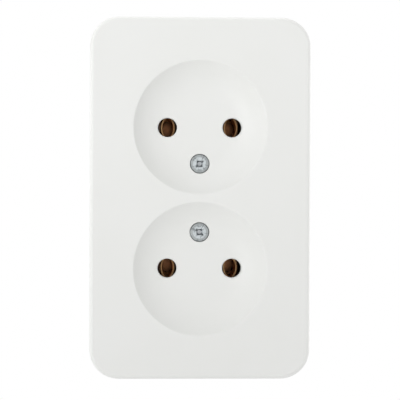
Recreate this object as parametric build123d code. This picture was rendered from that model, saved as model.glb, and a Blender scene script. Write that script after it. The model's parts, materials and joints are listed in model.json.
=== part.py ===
from build123d import *
import math
import os

# Surface-mounted double socket without earth, for round pins.
# Millimetres. +X right, +Z up, the wall is the plane y = 0 and the front faces -Y.
# A level is a distance out from the wall, so a level of 10 lies at y = -10.

# Cover: the moulded front shell
plate_width = 64.4
plate_height = 105.5
plate_corner_radius = 8.7
front_edge_radius = 1.2
wall_draft = 1.0  # degrees, the shell widens towards the wall
shell_wall = 2.0
front_wall = 2.2
wall_gap = 0.2  # the shell stops just short of the wall

# Outlets: two dished recesses, one above the other
outlet_spacing = 41.3
recess_rim_radius = 19.5
recess_floor_radius = 9.6
recess_depth = 5.0
rim_round = 0.3
pin_pitch = 19.0
pin_length = 19.0
pin_tip_clearance = 0.7
pin_hole_radius = 2.8
pin_hole_chamfer = 0.25

# Cover screws: one in each recess, towards the middle of the plate
screw_offset = 10.6
screw_thread_radius = 1.5
screw_thread_pitch = 0.5
screw_turns = 12
screw_head_radius = 2.8
screw_head_height = 2.3
screw_head_round = 0.5
screw_head_sink = 0.3
screw_tip_past_insert = 0.6
counterbore_clearance = 0.15
screw_hole_clearance = 0.2
screw_seat_wall = 2.0
screw_boss_radius = 4.0
cross_recess_span = 2.5
cross_recess_arm = 0.75
cross_recess_depth = 1.3
cross_recess_draft = 10.0
cross_recess_turn = 40.0
thread_clearance = 0.03

# Retaining washers on the cover screws, and the threaded inserts they turn in
retainer_radius = 3.1
retainer_thickness = 0.8
retainer_play = 0.1
retainer_post_gap = 0.4
insert_radius = 2.3
insert_length = 6.0
insert_groove_depth = 0.25
insert_groove_width = 1.0
post_wall = 1.4
post_well_depth = 4.0

# Stops and cable knock-outs inside the cover
stop_rib_width = 1.2
stop_rib_depth = 1.7
stop_rib_inset = 16.0
knockout_width = 14.0
knockout_height = 12.0
knockout_web = 0.9
knockout_groove_width = 0.5
knockout_groove_depth = 0.3

# Base: the moulded carrier behind the cover
base_clearance = 0.25
base_rim_level = 8.0
base_rim_wall = 1.8
base_back_recess = 1.5
base_floor = 2.5
back_rib_width = 1.6
back_rib_offset = 29.0
wall_slot_spacing = 74.0
wall_slot_length = 9.0
wall_slot_radius = 2.2
wall_slot_pad = 2.0
cable_entry_width = 10.0
cable_entry_height = 9.0
cable_entry_corner = 2.0
cable_gap_clearance = 0.5
chamber_wall = 1.2
chamber_gap = 1.0
chamber_width = 8.6
chamber_height = 9.6
chamber_corner = 0.8
pad_width = 4.6
pad_height = 2.0

# Busbars: one brass strip for each pole, with two terminal tabs
contact_pitch = 18.6
busbar_width = 6.0
busbar_thickness = 1.0
busbar_overhang = 4.0
busbar_slot_clearance = 0.3
terminal_reach = 6.5  # from the strip's middle line to the terminal screw
terminal_rise = 6.5  # from the socket's middle to the terminal screw
tab_width = 8.0
tab_end = 3.2
collar_radius = 2.5
collar_length = 1.4
collar_clearance = 0.3

# Terminal screws and their clamp plates
terminal_thread_radius = 1.75
terminal_head_radius = 3.2
terminal_head_height = 2.2
terminal_head_round = 0.6
terminal_slot_width = 0.9
terminal_slot_depth = 1.2
terminal_tip_length = 1.0
terminal_tip_clearance = 0.4
clamp_width = 7.6
clamp_thickness = 1.0
clamp_hole_clearance = 0.1
clamp_lip_gap = 0.2
clamp_lip_thickness = 0.8
clamp_lip_drop = 1.2
clamp_bend_radius = 0.4

# Pin contacts: two sprung leaves folded up from one strip
contact_sheet = 0.5
contact_width = 6.0
contact_root_gap = 5.2
contact_fold_radius = 0.4
contact_fold_height = 1.0
contact_waist_gap = 3.0
contact_waist_radius = 3.6
contact_waist_length = 5.0
contact_tip_gap = 3.4
contact_tip_radius = 4.0
contact_tip_length = 4.5
contact_tip_setback = 2.8

# Spring clips round the leaves, and the rivets under them
spring_sheet = 0.45
spring_play = 0.05
spring_height = 4.0
spring_bend_radius = 0.5
spring_arm_reach = 2.2
spring_bridge_gap = 0.3
rivet_radius = 1.25
rivet_hole_clearance = 0.05
rivet_head_radius = 2.2
rivet_head_height = 0.8
rivet_tail_radius = 2.0
rivet_tail_height = 0.5
rivet_bore_radius = 0.75
rivet_bore_depth = 3.0
rivet_well_clearance = 0.4

# Levels out from the wall that the pieces share, from the base to the front
base_floor_level = base_back_recess + base_floor
busbar_back_level = base_floor_level + pad_height
busbar_level = busbar_back_level + busbar_thickness
collar_level = busbar_back_level - collar_length
clamp_level = busbar_level + clamp_thickness
terminal_tip_level = collar_level - terminal_tip_length
yoke_level = busbar_level + contact_sheet
fold_level = yoke_level + contact_fold_height
rivet_head_level = yoke_level + rivet_head_height
rivet_tail_level = base_back_recess + rivet_well_clearance
rivet_well_level = rivet_tail_level + rivet_tail_height
recess_level = rivet_head_level + pin_tip_clearance + pin_length
front_level = recess_level + recess_depth
front_back_level = front_level - front_wall
recess_back_level = recess_level - front_wall
chamber_level = recess_back_level - chamber_gap
contact_tip_level = recess_back_level - contact_tip_setback
waist_high_level = contact_tip_level - contact_tip_length
waist_low_level = waist_high_level - contact_waist_length
screw_seat_level = recess_level - screw_head_sink - screw_head_height
boss_level = screw_seat_level - screw_seat_wall
screw_travel = screw_turns * screw_thread_pitch
retainer_front_level = boss_level - retainer_play - screw_travel
retainer_back_level = retainer_front_level - retainer_thickness
post_level = retainer_back_level - retainer_post_gap
insert_back_level = post_level - insert_length
screw_tip_level = insert_back_level - screw_tip_past_insert

# Places across the wall that the pieces share
recess_side_width = recess_rim_radius - recess_floor_radius
recess_bend_radius = (recess_side_width**2 + recess_depth**2) / (2 * recess_depth)
outlet_heights = {"upper": outlet_spacing / 2, "lower": -outlet_spacing / 2}
inward = {"upper": -1, "lower": 1}
screw_heights = {name: z + inward[name] * screw_offset for name, z in outlet_heights.items()}
pole_sides = {"left": -1, "right": 1}
contact_x = contact_pitch / 2
terminal_x = contact_x + terminal_reach
tab_end_x = terminal_x + tab_end


def outline(width, height, corner_radius):
    return RectangleRounded(width, height, corner_radius)


def prism(sketch, low, high, draft=0.0):
    """Raise a sketch drawn across the wall from one level to another."""
    return extrude(Plane.XZ.offset(low) * sketch, amount=high - low, taper=draft)


def rod(radius, low, high, x=0.0, z=0.0):
    return prism(Pos(x, z) * Circle(radius), low, high)


def draft_growth(level):
    """How far a drafted wall stands outside its place at the front, at a level."""
    return (front_level - level) * math.tan(math.radians(wall_draft))


def shell_block(inset, low, high):
    """A drafted block that lies a given inset inside the cover's outer wall."""
    grow = draft_growth(low) - inset
    face = outline(plate_width + 2 * grow, plate_height + 2 * grow, plate_corner_radius + grow)
    return prism(face, low, high, wall_draft)


def dish(floor_level, top_level, bend_radius, lip_radius=0.0):
    """A round dish with a flat floor, a side that curves up from it and a rounded lip."""
    floor_edge = (recess_floor_radius, -floor_level)
    bend_level = floor_level + bend_radius
    lip_drop = bend_level - top_level + lip_radius
    lip_reach = math.sqrt((bend_radius + lip_radius) ** 2 - lip_drop**2)
    share = bend_radius / (bend_radius + lip_radius)
    side_end = (recess_floor_radius + share * lip_reach, share * lip_drop - bend_level)
    edges = [TangentArc(floor_edge, side_end, tangent=(1, 0))]
    if lip_radius:
        lip_end = (recess_floor_radius + lip_reach, -top_level)
        edges.append(TangentArc(side_end, lip_end, tangent=edges[0] % 1))
    edges.append(Polyline(edges[-1] @ 1, (0, -top_level), (0, -floor_level), floor_edge))
    return revolve(make_face(edges), axis=Axis.Y)


def stop_ribs():
    """Ribs down the inside of the shell that land on the base's rim."""
    half_width = plate_width / 2 - shell_wall
    half_height = plate_height / 2 - shell_wall
    reach = stop_rib_depth + shell_wall / 2
    side_x = half_width + draft_growth(base_rim_level) - stop_rib_depth + reach / 2
    end_z = half_height + draft_growth(base_rim_level) - stop_rib_depth + reach / 2
    ribs = Sketch()
    for side in (-1, 1):
        for inset in (-stop_rib_inset, stop_rib_inset):
            ribs += Pos(side * side_x, inset) * Rectangle(reach, stop_rib_width)
            ribs += Pos(inset, side * end_z) * Rectangle(stop_rib_width, reach)
    return prism(ribs, base_rim_level, front_back_level)


def knockout(width, height):
    """U-shaped outline of a cable knock-out, drawn in the plane of the wall's depth."""
    radius = width / 2
    stem = height - radius
    return Pos(0, -stem / 2) * Rectangle(width, stem) + Pos(0, -stem) * Circle(radius)


def pin_hole():
    """A hole through the recess floor with a chamfered mouth."""
    mouth_radius = pin_hole_radius + pin_hole_chamfer
    mouth = Cone(pin_hole_radius, mouth_radius, pin_hole_chamfer)
    mouth_plane = Plane.XZ.offset(recess_level - pin_hole_chamfer / 2)
    hole = rod(pin_hole_radius, recess_back_level - front_wall, front_level)
    return hole + mouth_plane * mouth + rod(mouth_radius, recess_level, front_level)


def make_cover():
    block = shell_block(0, wall_gap, front_level)
    block = fillet(block.faces().sort_by(Axis.Y)[0].edges(), front_edge_radius)
    cavity = shell_block(shell_wall, 0, front_back_level) - stop_ribs()
    for name, z in outlet_heights.items():
        block -= Pos(0, 0, z) * dish(recess_level, front_level, recess_bend_radius, rim_round)
        back_bend_radius = recess_bend_radius + front_wall
        cavity -= Pos(0, 0, z) * dish(recess_back_level, front_back_level, back_bend_radius)
        cavity -= rod(screw_boss_radius, boss_level, front_back_level, z=screw_heights[name])
    cover = block - cavity
    for name, z in outlet_heights.items():
        for side in pole_sides.values():
            cover -= Pos(side * pin_pitch / 2, 0, z) * pin_hole()
        head_hole = screw_head_radius + counterbore_clearance
        cover -= rod(head_hole, screw_seat_level, front_level, z=screw_heights[name])
        cover -= rod(screw_thread_radius + screw_hole_clearance, 0, front_level, z=screw_heights[name])
    web = knockout(knockout_width - 2 * knockout_groove_width, knockout_height - knockout_groove_width)
    groove = knockout(knockout_width, knockout_height) - web
    outside = plate_height / 2 + draft_growth(knockout_height)
    for end in (-1, 1):
        web_plane = Plane.XY.offset(end * (outside - knockout_web))
        cover -= extrude(web_plane * web, amount=-end * (shell_wall + stop_rib_depth))
        groove_plane = Plane.XY.offset(end * (outside - knockout_groove_depth))
        cover -= extrude(groove_plane * groove, amount=end * shell_wall)
    return cover


def wall_slot(margin):
    slot = SlotOverall(wall_slot_length + 2 * margin, 2 * (wall_slot_radius + margin), rotation=90)
    return Pos(0, wall_slot_spacing / 2) * slot + Pos(0, -wall_slot_spacing / 2) * slot


def make_base():
    inset = shell_wall + base_clearance
    base = shell_block(inset, 0, base_rim_level)
    base -= shell_block(inset + base_rim_wall, base_floor_level, base_rim_level)
    back = shell_block(inset + base_rim_wall, 0, base_back_recess)
    back -= prism(wall_slot(wall_slot_pad), 0, base_back_recess)
    for end in (-1, 1):
        rib = Pos(0, end * back_rib_offset) * Rectangle(plate_width, back_rib_width)
        back -= prism(rib, 0, base_back_recess)
    base -= back
    for name, z in outlet_heights.items():
        post_radius = insert_radius + post_wall
        base += rod(post_radius, base_floor_level, post_level, z=screw_heights[name])
        for side in pole_sides.values():
            tube = outline(
                chamber_width + 2 * chamber_wall,
                chamber_height + 2 * chamber_wall,
                chamber_corner + chamber_wall,
            )
            tube -= outline(chamber_width, chamber_height, chamber_corner)
            base += prism(Pos(side * contact_x, z) * tube, base_floor_level, chamber_level)
    strip_length = outlet_spacing + 2 * busbar_overhang
    slot_half_width = busbar_width / 2 + busbar_slot_clearance
    slot_level = busbar_level + busbar_slot_clearance
    for side in pole_sides.values():
        slot = Pos(side * contact_x, 0) * Rectangle(2 * slot_half_width, strip_length)
        base -= prism(slot, base_floor_level, slot_level)
        pads = Pos(side * contact_x, 0) * Rectangle(pad_width, strip_length)
        for z in (-terminal_rise, terminal_rise):
            reach = tab_end_x - contact_x
            pads += Pos(side * (contact_x + reach / 2), z) * Rectangle(reach, tab_width)
        base += prism(pads, base_floor_level, busbar_back_level)
        for z in (-terminal_rise, terminal_rise):
            well_level = terminal_tip_level - terminal_tip_clearance
            well_radius = collar_radius + collar_clearance
            base -= rod(well_radius, well_level, busbar_back_level, side * terminal_x, z)
        for z in outlet_heights.values():
            base -= rod(rivet_radius + rivet_hole_clearance, 0, busbar_back_level, side * contact_x, z)
            well_radius = rivet_tail_radius + rivet_well_clearance
            base -= rod(well_radius, 0, rivet_well_level, side * contact_x, z)
    for z in screw_heights.values():
        base -= rod(insert_radius, insert_back_level, post_level, z=z)
        well_level = insert_back_level - post_well_depth
        base -= rod(screw_thread_radius + screw_hole_clearance, well_level, post_level, z=z)
    base -= prism(wall_slot(0), 0, base_floor_level)
    base -= prism(outline(cable_entry_width, cable_entry_height, cable_entry_corner), 0, base_floor_level)
    cable_gap = Rectangle(knockout_width + 2 * cable_gap_clearance, 2 * (inset + base_rim_wall))
    for end in (-1, 1):
        base -= prism(Pos(0, end * plate_height / 2) * cable_gap, base_floor_level, base_rim_level)
    return base


def cross_recess(top_level):
    """A cross-shaped driver recess that narrows towards its bottom."""
    arms = Rectangle(cross_recess_span, cross_recess_arm) + Rectangle(cross_recess_arm, cross_recess_span)
    arms = Rot(0, 0, cross_recess_turn) * arms
    return extrude(Plane.XZ.offset(top_level) * arms, amount=-cross_recess_depth, taper=cross_recess_draft)


def make_cover_screw():
    head_level = screw_seat_level + screw_head_height
    head = rod(screw_head_radius, screw_seat_level, head_level)
    head = fillet(head.faces().sort_by(Axis.Y)[0].edges(), screw_head_round)
    return head + rod(screw_thread_radius, screw_tip_level, screw_seat_level) - cross_recess(head_level)


def make_retainer():
    washer = rod(retainer_radius, retainer_back_level, retainer_front_level)
    return washer - rod(screw_thread_radius + thread_clearance, 0, front_level)


def make_insert():
    """A press-in bush with a groove round its middle that the moulding grips."""
    middle = (insert_back_level + post_level) / 2
    insert = rod(insert_radius, insert_back_level, post_level)
    ring = rod(insert_radius, middle - insert_groove_width / 2, middle + insert_groove_width / 2)
    ring -= rod(insert_radius - insert_groove_depth, 0, front_level)
    return insert - ring - rod(screw_thread_radius + thread_clearance, 0, front_level)


def make_busbar(side):
    strip_length = outlet_spacing + 2 * busbar_overhang
    strip = outline(busbar_width, strip_length, busbar_width / 4)
    reach = tab_end_x - contact_x
    for z in (-terminal_rise, terminal_rise):
        strip += Pos(side * reach / 2, z) * Rectangle(reach, tab_width)
    busbar = prism(strip, busbar_back_level, busbar_level)
    for z in (-terminal_rise, terminal_rise):
        busbar += rod(collar_radius, collar_level, busbar_back_level, side * terminal_reach, z)
        hole = terminal_thread_radius + thread_clearance
        busbar -= rod(hole, collar_level, busbar_level, side * terminal_reach, z)
    for z in outlet_heights.values():
        busbar -= rod(rivet_radius + rivet_hole_clearance, 0, busbar_level, 0, z)
    return Pos(side * contact_x, 0, 0) * busbar


def leaf_section(level, gap, bend_radius):
    """Cross-section of a leaf curved round the pin, at a level."""
    half_angle = math.degrees(math.asin(contact_width / 2 / (bend_radius + contact_sheet)))
    centre_x = gap / 2 - bend_radius
    inner = CenterArc((centre_x, 0), bend_radius, -half_angle, 2 * half_angle)
    outer = CenterArc((centre_x, 0), bend_radius + contact_sheet, -half_angle, 2 * half_angle)
    edges = [inner, Line(inner @ 1, outer @ 1), outer, Line(outer @ 0, inner @ 0)]
    return Plane.XZ.offset(level) * make_face(edges)


def folded_channel(inner_width, low, high, sheet, bend_radius, length):
    """A U-shaped fold of sheet, open towards the front, centred on the pin axis."""
    outer = Pos(0, -(low + high) / 2) * Rectangle(inner_width + 2 * sheet, high - low)
    inner = Pos(0, -(low + sheet + high) / 2) * Rectangle(inner_width, high - low - sheet)
    outer = fillet(outer.vertices().group_by(Axis.Y)[-1], bend_radius + sheet)
    inner = fillet(inner.vertices().group_by(Axis.Y)[-1], bend_radius)
    return extrude(outer - inner, amount=length / 2, both=True)


def make_contact():
    contact = folded_channel(
        contact_root_gap, busbar_level, fold_level, contact_sheet, contact_fold_radius, contact_width
    )
    root = Pos(contact_root_gap / 2 + contact_sheet / 2, 0) * Rectangle(contact_sheet, contact_width)
    leaf = loft(
        [
            Plane.XZ.offset(fold_level) * root,
            leaf_section(waist_low_level, contact_waist_gap, contact_waist_radius),
            leaf_section(waist_high_level, contact_waist_gap, contact_waist_radius),
            leaf_section(contact_tip_level, contact_tip_gap, contact_tip_radius),
        ],
        ruled=True,
    )
    contact += leaf
    contact += mirror(leaf, Plane.YZ)
    return contact - rod(rivet_radius + rivet_hole_clearance, 0, yoke_level)


def make_spring():
    """A U-shaped clip that squeezes the two leaves at their waist."""
    arm_inside = contact_waist_gap / 2 + contact_sheet + spring_play
    bridge_inside = contact_width / 2 + spring_bridge_gap
    length = spring_arm_reach + bridge_inside
    inner = Pos(0, bridge_inside - length / 2) * Rectangle(2 * arm_inside, length)
    outer = Pos(0, bridge_inside - length / 2 + spring_sheet / 2) * Rectangle(
        2 * (arm_inside + spring_sheet), length + spring_sheet
    )
    inner = fillet(inner.vertices().group_by(Axis.Y)[-1], spring_bend_radius)
    outer = fillet(outer.vertices().group_by(Axis.Y)[-1], spring_bend_radius + spring_sheet)
    middle = (waist_low_level + waist_high_level) / 2
    return prism(outer - inner, middle - spring_height / 2, middle + spring_height / 2)


def make_rivet():
    rivet = rod(rivet_head_radius, yoke_level, rivet_head_level)
    rivet = chamfer(rivet.faces().sort_by(Axis.Y)[0].edges(), rivet_head_height / 2)
    rivet += rod(rivet_radius, rivet_tail_level, yoke_level)
    rivet += rod(rivet_tail_radius, rivet_tail_level, rivet_well_level)
    return rivet - rod(rivet_bore_radius, rivet_tail_level, rivet_tail_level + rivet_bore_depth)


def make_terminal_screw():
    head_level = clamp_level + terminal_head_height
    head = rod(terminal_head_radius, clamp_level, head_level)
    head = fillet(head.faces().sort_by(Axis.Y)[0].edges(), terminal_head_round)
    slot = Rectangle(2 * terminal_head_radius, terminal_slot_width)
    head -= prism(slot, head_level - terminal_slot_depth, head_level)
    return head + rod(terminal_thread_radius, terminal_tip_level, clamp_level)


def make_clamp_plate():
    """A plate with a lip bent down over the end of the busbar's tab."""
    lip_inside = tab_end + clamp_lip_gap
    lip_outside = lip_inside + clamp_lip_thickness
    back_edge = -clamp_width / 2
    plate = Pos((back_edge + lip_outside) / 2, -(busbar_level + clamp_level) / 2) * Rectangle(
        lip_outside - back_edge, clamp_thickness
    )
    lip = Pos((lip_inside + lip_outside) / 2, -(clamp_level + busbar_level - clamp_lip_drop) / 2) * Rectangle(
        clamp_lip_thickness, clamp_thickness + clamp_lip_drop
    )
    profile = plate + lip
    corner = profile.vertices().group_by(Axis.Y)[0].sort_by(Axis.X)[-1]
    profile = fillet(corner, clamp_bend_radius)
    clamp = extrude(profile, amount=clamp_width / 2, both=True)
    return clamp - rod(terminal_thread_radius + clamp_hole_clearance, 0, clamp_level)


nodes = {"cover": make_cover(), "base": make_base()}
rivets = []
for name, z in outlet_heights.items():
    at_screw = Pos(0, 0, screw_heights[name])
    nodes[f"cover_screw_{name}"] = at_screw * make_cover_screw()
    nodes[f"screw_retainer_{name}"] = at_screw * make_retainer()
    nodes[f"threaded_insert_{name}"] = at_screw * make_insert()
    for pole, side in pole_sides.items():
        at_pin = Pos(side * contact_x, 0, z)
        nodes[f"pin_contact_{name}_{pole}"] = at_pin * make_contact()
        nodes[f"contact_spring_{name}_{pole}"] = at_pin * make_spring()
        rivets.append(at_pin * make_rivet())
        at_terminal = Pos(side * terminal_x, 0, math.copysign(terminal_rise, z))
        facing = Rot(0, 90 - 90 * side, 0)
        nodes[f"terminal_screw_{name}_{pole}"] = at_terminal * make_terminal_screw()
        nodes[f"clamp_plate_{name}_{pole}"] = at_terminal * facing * make_clamp_plate()
for pole, side in pole_sides.items():
    nodes[f"busbar_{pole}"] = make_busbar(side)
nodes["contact_rivets"] = Compound(children=rivets)

os.makedirs("parts", exist_ok=True)
for name, solid in nodes.items():
    export_step(solid, f"parts/{name}.step")
    print(name, round(solid.volume, 2))
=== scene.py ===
import json
import math
import bmesh
import bpy
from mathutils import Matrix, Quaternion, Vector


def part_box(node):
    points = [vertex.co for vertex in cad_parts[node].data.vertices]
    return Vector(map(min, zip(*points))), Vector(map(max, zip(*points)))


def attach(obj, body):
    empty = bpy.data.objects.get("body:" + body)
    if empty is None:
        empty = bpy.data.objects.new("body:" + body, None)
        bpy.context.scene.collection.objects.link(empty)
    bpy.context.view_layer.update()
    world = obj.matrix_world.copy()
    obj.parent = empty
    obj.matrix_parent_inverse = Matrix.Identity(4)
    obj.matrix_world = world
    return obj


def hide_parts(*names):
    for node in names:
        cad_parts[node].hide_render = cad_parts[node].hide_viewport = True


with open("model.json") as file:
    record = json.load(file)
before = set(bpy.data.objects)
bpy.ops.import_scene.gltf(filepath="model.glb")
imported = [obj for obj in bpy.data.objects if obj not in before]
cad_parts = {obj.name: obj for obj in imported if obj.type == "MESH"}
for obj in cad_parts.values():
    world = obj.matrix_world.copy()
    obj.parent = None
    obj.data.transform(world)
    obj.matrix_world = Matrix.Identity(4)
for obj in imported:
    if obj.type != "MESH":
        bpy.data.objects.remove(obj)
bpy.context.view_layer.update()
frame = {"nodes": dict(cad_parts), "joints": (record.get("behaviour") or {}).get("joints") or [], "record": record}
record = frame["record"]
print("frame loaded,", len(frame["nodes"]), "nodes")

# Shapes are modelled in millimetres, and finishPiece() brings each one to metres.
# A level is a distance out from the wall, so a level of 10 lies at y = -10.
perMetre = 1000
past = 1.0  # how far a cutting shape reaches past the face it cuts
sink = 0.5  # how deep two joined shapes stand in each other
bevelGap = 0.01  # keeps two rounded corners from meeting
mergeGap = 0.0004  # points nearer than this are one
outlets = ("upper", "lower")
poles = ("left", "right")
sockets = [(o, p) for o in outlets for p in poles]
mountAt = {m["name"]: Vector(m["pos_m"]) * perMetre for m in record["mounts"]}
jointAt = {j["name"]: Vector(j["pos_m"]) * perMetre for j in frame["joints"] if "pos_m" in j}
outletHeight = {o: mountAt[f"pin_hole_{o}_left"].z for o in outlets}
pinHalfPitch = mountAt["pin_hole_upper_right"].x
screwHeight = {o: jointAt[f"cover_screw_{o}_turn"].z for o in outlets}


def nodeBox(node):
    low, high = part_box(node)
    return low * perMetre, high * perMetre


def nodeLevels(node):  # nearest and furthest distance from the wall
    low, high = nodeBox(node)
    return -high.y, -low.y


def contactPlace(o, p):
    low, high = nodeBox(f"pin_contact_{o}_{p}")
    return (low.x + high.x) / 2, (low.z + high.z) / 2


def terminalPlace(o, p):
    place = jointAt[f"terminal_screw_{o}_{p}_turn"]
    return place.x, place.z


def clearSelection():
    if bpy.context.object and bpy.context.object.mode != "OBJECT":
        bpy.ops.object.mode_set(mode="OBJECT")
    bpy.ops.object.select_all(action="DESELECT")


def takeUp(piece):
    clearSelection()
    piece.select_set(True)
    bpy.context.view_layer.objects.active = piece


def edit(piece):
    takeUp(piece)
    bpy.ops.object.mode_set(mode="EDIT")


def editAll(piece):
    edit(piece)
    bpy.ops.mesh.select_all(action="SELECT")


def leave():
    bpy.ops.object.mode_set(mode="OBJECT")


def choose(piece, kind, test):  # in edit mode, picks points, edges or faces by a test on their place
    bpy.ops.mesh.select_mode(type=kind)
    bpy.ops.mesh.select_all(action="DESELECT")
    mesh = bmesh.from_edit_mesh(piece.data)
    items = {"VERT": mesh.verts, "EDGE": mesh.edges, "FACE": mesh.faces}[kind]
    for item in items:
        item.select_set(bool(test(item)))
    mesh.select_flush_mode()
    bmesh.update_edit_mesh(piece.data)


def atLevel(edge, level, reach=0.002):
    return all(abs(point.co.y + level) < reach for point in edge.verts)


def atRadius(edge, radius, x, z, reach=0.02):
    return all(abs(math.hypot(p.co.x - x, p.co.z - z) - radius) < reach for p in edge.verts)


def standsOut(edge):  # runs out from the wall
    return abs(edge.verts[0].co.y - edge.verts[1].co.y) > 0.1


def arc(centre, radius, start, end, steps):  # points of a round stretch of a profile, angles in degrees
    angles = [math.radians(start + (end - start) * i / steps) for i in range(steps + 1)]
    return [(centre[0] + radius * math.cos(a), centre[1] + radius * math.sin(a)) for a in angles]


def chain(name, points):  # a line of points, drawn out of one vertex
    clearSelection()
    bpy.ops.mesh.primitive_plane_add(size=1)
    piece = bpy.context.object
    piece.name = name
    bpy.ops.object.mode_set(mode="EDIT")
    bpy.ops.mesh.select_mode(type="VERT")
    bpy.ops.mesh.merge(type="CENTER")
    bpy.ops.transform.translate(value=points[0])
    for here, there in zip(points, points[1:]):
        step = [b - a for a, b in zip(here, there)]
        bpy.ops.mesh.extrude_vertices_move(TRANSFORM_OT_translate={"value": step})
    leave()
    return piece


def closeUp(piece):  # merges seams and poles, then turns all faces outwards
    editAll(piece)
    bpy.ops.mesh.remove_doubles(threshold=mergeGap)
    bpy.ops.mesh.normals_make_consistent(inside=False)
    leave()


def lathe(name, profile, steps, x=0.0, z=0.0):  # spins (radius, level) points about an axis to the front
    piece = chain(name, [(x + radius, -level, z) for radius, level in profile])
    editAll(piece)
    bpy.ops.mesh.spin(steps=steps, angle=math.tau, center=(x, 0, z), axis=(0, 1, 0))
    closeUp(piece)
    return piece


def block(name, low, high):
    clearSelection()
    middle = [(a + b) / 2 for a, b in zip(low, high)]
    size = [b - a for a, b in zip(low, high)]
    bpy.ops.mesh.primitive_cube_add(size=1, location=middle, scale=size)
    piece = bpy.context.object
    piece.name = name
    bpy.ops.object.transform_apply(location=True, rotation=True, scale=True)
    return piece


def rodTool(radius, low, high, x=0.0, z=0.0, steps=32):
    return lathe("rod", [(0, low), (radius, low), (radius, high), (0, high)], steps, x, z)


def useModifier(piece, kind, **settings):
    takeUp(piece)
    modifier = piece.modifiers.new(kind.lower(), kind)
    for key, value in settings.items():
        setattr(modifier, key, value)
    bpy.ops.object.modifier_apply(modifier=modifier.name)


def combine(piece, tool, operation):
    useModifier(piece, "BOOLEAN", object=tool, operation=operation, solver="EXACT")
    bpy.data.objects.remove(tool)


def cutOut(piece, *tools):
    for tool in tools:
        combine(piece, tool, "DIFFERENCE")


def addOn(piece, *tools):
    for tool in tools:
        combine(piece, tool, "UNION")


def copyOf(piece, name, move=(0, 0, 0), turn=0.0):  # turned by degrees about an axis to the front
    twin = piece.copy()
    twin.data = piece.data.copy()
    twin.name = name
    bpy.context.collection.objects.link(twin)
    takeUp(twin)
    twin.location = move
    twin.rotation_euler = (0, -math.radians(turn), 0)
    bpy.ops.object.transform_apply(location=True, rotation=True, scale=True)
    return twin


def joinUp(pieces, name):
    clearSelection()
    for piece in pieces:
        piece.select_set(True)
    bpy.context.view_layer.objects.active = pieces[0]
    bpy.ops.object.join()
    pieces[0].name = name
    return pieces[0]


def finishPiece(piece, body, node, angle=35):
    slot = slotOf[node]
    editAll(piece)
    bpy.ops.mesh.remove_doubles(threshold=mergeGap)
    bpy.ops.mesh.dissolve_degenerate(threshold=mergeGap)
    leave()
    piece.scale = [1 / perMetre] * 3
    bpy.ops.object.transform_apply(location=True, rotation=True, scale=True)
    bpy.ops.object.shade_smooth_by_angle(angle=math.radians(angle))
    useModifier(piece, "WEIGHTED_NORMAL", keep_sharp=True, weight=80)
    piece.data.materials.clear()
    piece.data.materials.append(finish.get(slot) or finish[node])  # plated pieces have a finish each
    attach(piece, body)
    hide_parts(node)


def placeCopies(blank, ending, places, body="", angle=35):  # a finished copy for each node in places
    for node, (x, z, turn) in places.items():
        finishPiece(copyOf(blank, f"{node}_{ending}", (x, 0, z), turn), body or node, node, angle)
    bpy.data.objects.remove(blank)


# Finishes

def startMaterial(name, colour, roughness, metallic=0.0):
    material = bpy.data.materials.new(name)
    material.use_nodes = True
    shader = material.node_tree.nodes["Principled BSDF"]
    shader.inputs["Base Color"].default_value = (*colour, 1)
    shader.inputs["Roughness"].default_value = roughness
    shader.inputs["Metallic"].default_value = metallic
    return material, shader


def addNode(material, kind, **inputs):
    node = material.node_tree.nodes.new(kind)
    for key, value in inputs.items():
        node.inputs[key].default_value = value
    return node


def wire(material, source, target):
    material.node_tree.links.new(source, target)


def objectPoint(material, scale=(1, 1, 1), location=(0, 0, 0)):
    place = addNode(material, "ShaderNodeTexCoord")
    mapping = addNode(material, "ShaderNodeMapping", Scale=scale, Location=location)
    wire(material, place.outputs["Object"], mapping.inputs["Vector"])
    return mapping.outputs["Vector"]


def noise(material, point, scale, detail=2.0, rough=0.5):
    node = addNode(material, "ShaderNodeTexNoise", Scale=scale, Detail=detail, Roughness=rough)
    wire(material, point, node.inputs["Vector"])
    return node.outputs["Fac"]


def spread(material, value, low, high, fromLow=0.3, fromHigh=0.7):  # noise brought to a range of values
    node = addNode(material, "ShaderNodeMapRange", **{"From Min": fromLow, "From Max": fromHigh})
    node.inputs["To Min"].default_value = low
    node.inputs["To Max"].default_value = high
    wire(material, value, node.inputs["Value"])
    return node.outputs["Result"]


def tint(material, value, dark, light, fromLow=0.3, fromHigh=0.7):
    ramp = addNode(material, "ShaderNodeValToRGB")
    ramp.color_ramp.elements[0].position = fromLow
    ramp.color_ramp.elements[0].color = (*dark, 1)
    ramp.color_ramp.elements[1].position = fromHigh
    ramp.color_ramp.elements[1].color = (*light, 1)
    wire(material, value, ramp.inputs["Fac"])
    return ramp.outputs["Color"]


def colourFrom(material, shader, value, dark, light):
    wire(material, tint(material, value, dark, light), shader.inputs["Base Color"])


def roughFrom(material, shader, value, low, high):
    wire(material, spread(material, value, low, high), shader.inputs["Roughness"])


def mathNode(material, operation, first, second):
    node = addNode(material, "ShaderNodeMath")
    node.operation = operation
    wire(material, first, node.inputs[0])
    wire(material, second, node.inputs[1])
    return node.outputs[0]


def relief(material, shader, height, strength, depth):
    bump = addNode(material, "ShaderNodeBump", Strength=strength, Distance=depth)
    wire(material, height, bump.inputs["Height"])
    wire(material, bump.outputs["Normal"], shader.inputs["Normal"])


def coverPlastic():  # satin moulded white, slightly warm
    material, shader = startMaterial("coverPlastic", (0.835, 0.84, 0.82), 0.42)
    point = objectPoint(material)
    flow = noise(material, point, 55, detail=3)
    colourFrom(material, shader, flow, (0.829, 0.834, 0.812), (0.841, 0.846, 0.828))
    roughFrom(material, shader, noise(material, point, 900), 0.39, 0.46)
    relief(material, shader, noise(material, point, 3500, detail=3), 0.12, 0.00002)
    return material


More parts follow.
